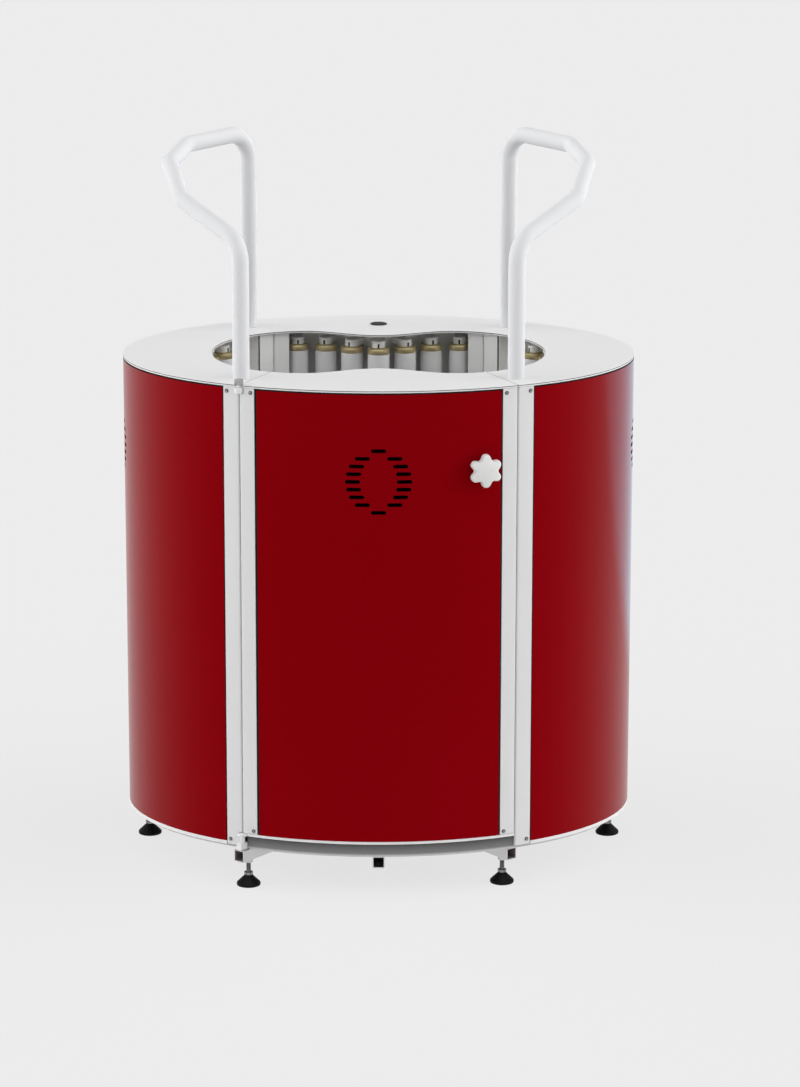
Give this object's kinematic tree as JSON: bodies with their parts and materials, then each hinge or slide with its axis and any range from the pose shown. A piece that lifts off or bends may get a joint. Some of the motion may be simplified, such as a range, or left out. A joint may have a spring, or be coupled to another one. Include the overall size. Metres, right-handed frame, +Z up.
{
  "type": "leg tanning unit",
  "caption": "Oval cabinet for tanning the legs: upright lamps round a waisted leg well, a front door on a side hinge with a star-knob latch, and bent-tube hand rails.",
  "frame": {"origin": "on the floor, below the middle of the cabinet", "axes": "+Z up, -Y out of the front of the door, +X to the right of someone who faces the door"},
  "size_m": [0.86, 0.6627, 1.2081],
  "materials": {
    "red_gloss": "high-gloss dark red",
    "white_paint": "white powder coat, satin",
    "grey_board": "grey laminated board",
    "reflector": "bright rolled sheet",
    "lamp_tube": "phosphor-coated glass tube",
    "bare_steel": "zinc-plated steel",
    "black_plastic": "black moulded plastic",
    "foot_black": "black moulded foot on a steel stud",
    "white_plastic": "white moulded plastic"
  },
  "bodies": {
    "cabinet": {"left_panel": "red_gloss", "right_panel": "red_gloss", "back_panel": "red_gloss", "top_plate": "white_paint", "left_front_post": "white_paint", "left_back_post": "white_paint", "right_front_post": "white_paint", "right_back_post": "white_paint", "back_left_post": "white_paint", "back_right_post": "white_paint", "left_handle": "white_paint", "right_handle": "white_paint", "foot_platform": "grey_board", "left_lamp_bank": "reflector", "right_lamp_bank": "reflector", "back_lamp_carrier": "reflector", "back_lamp_1": "lamp_tube", "back_lamp_2": "lamp_tube", "back_lamp_3": "lamp_tube", "back_lamp_4": "lamp_tube", "back_lamp_5": "lamp_tube", "back_lamp_6": "lamp_tube", "back_lamp_7": "lamp_tube", "base_frame": "bare_steel", "upper_hinge_pin": "bare_steel", "lower_pivot_block": "bare_steel", "button_bezel": "black_plastic", "cable_gland": "black_plastic", "left_fan_frame": "black_plastic", "right_fan_frame": "black_plastic", "back_fan_frame": "black_plastic"},
    "door": {"door_panel": "red_gloss", "door_hinge_post": "white_paint", "door_lock_post": "white_paint", "door_top_plate": "white_paint", "door_bottom_plate": "white_paint", "door_lamp_carrier": "reflector", "door_lamp_1": "lamp_tube", "door_lamp_2": "lamp_tube", "door_lamp_3": "lamp_tube", "door_lamp_4": "lamp_tube", "door_lamp_5": "lamp_tube", "door_lamp_6": "lamp_tube", "door_lamp_7": "lamp_tube", "door_fan_frame": "black_plastic"},
    "latch": {"star_knob": "white_plastic", "latch_cam": "bare_steel"},
    "start_button": {"start_button": "black_plastic"},
    "door_fan_rotor": {"door_fan_rotor": "black_plastic"},
    "left_fan_rotor": {"left_fan_rotor": "black_plastic"},
    "right_fan_rotor": {"right_fan_rotor": "black_plastic"},
    "back_fan_rotor": {"back_fan_rotor": "black_plastic"},
    "foot_left": {"foot_left": "foot_black"},
    "foot_right": {"foot_right": "foot_black"},
    "foot_front_left": {"foot_front_left": "foot_black"},
    "foot_front_right": {"foot_front_right": "foot_black"},
    "foot_back_left": {"foot_back_left": "foot_black"},
    "foot_back_right": {"foot_back_right": "foot_black"}
  },
  "joints": [
    {"name": "door_hinge", "type": "hinge", "parent": "cabinet", "child": "door", "pos_m": [-0.2265, -0.27626, 0.45], "axis": [0, 0, -1], "range_deg": [0, 100]},
    {"name": "latch_turn", "type": "hinge", "parent": "door", "child": "latch", "pos_m": [0.169, -0.29885, 0.721], "axis": [-0.3074, 0.9516, 0], "range_deg": [0, 90]},
    {"name": "start_press", "type": "slide", "parent": "cabinet", "child": "start_button", "axis": [0, 0, -1], "range_m": [0, 0.0025], "stiffness_N_per_m": 400, "springref_m": -0.0015},
    {"name": "door_fan_spin", "type": "hinge", "parent": "door", "child": "door_fan_rotor", "pos_m": [0, -0.3, 0.705], "axis": [0, -1, 0], "continuous": true},
    {"name": "left_fan_spin", "type": "hinge", "parent": "cabinet", "child": "left_fan_rotor", "pos_m": [-0.4, 0, 0.705], "axis": [-1, 0, 0], "continuous": true},
    {"name": "right_fan_spin", "type": "hinge", "parent": "cabinet", "child": "right_fan_rotor", "pos_m": [0.4, 0, 0.705], "axis": [1, 0, 0], "continuous": true},
    {"name": "back_fan_spin", "type": "hinge", "parent": "cabinet", "child": "back_fan_rotor", "pos_m": [0, 0.3, 0.705], "axis": [0, 1, 0], "continuous": true},
    {"name": "foot_left_screw", "type": "hinge", "parent": "cabinet", "child": "foot_left", "pos_m": [-0.39698, 0.016, 0.02], "axis": [0, 0, 1], "continuous": true},
    {"name": "foot_right_screw", "type": "hinge", "parent": "cabinet", "child": "foot_right", "pos_m": [0.39698, 0.016, 0.02], "axis": [0, 0, 1], "continuous": true},
    {"name": "foot_front_left_screw", "type": "hinge", "parent": "cabinet", "child": "foot_front_left", "pos_m": [-0.21731, -0.2644, 0.02], "axis": [0, 0, 1], "continuous": true},
    {"name": "foot_front_right_screw", "type": "hinge", "parent": "cabinet", "child": "foot_front_right", "pos_m": [0.20659, -0.25057, 0.02], "axis": [0, 0, 1], "continuous": true},
    {"name": "foot_back_left_screw", "type": "hinge", "parent": "cabinet", "child": "foot_back_left", "pos_m": [-0.18813, 0.25874, 0.02], "axis": [0, 0, 1], "continuous": true},
    {"name": "foot_back_right_screw", "type": "hinge", "parent": "cabinet", "child": "foot_back_right", "pos_m": [0.18813, 0.25874, 0.02], "axis": [0, 0, 1], "continuous": true}
  ]
}
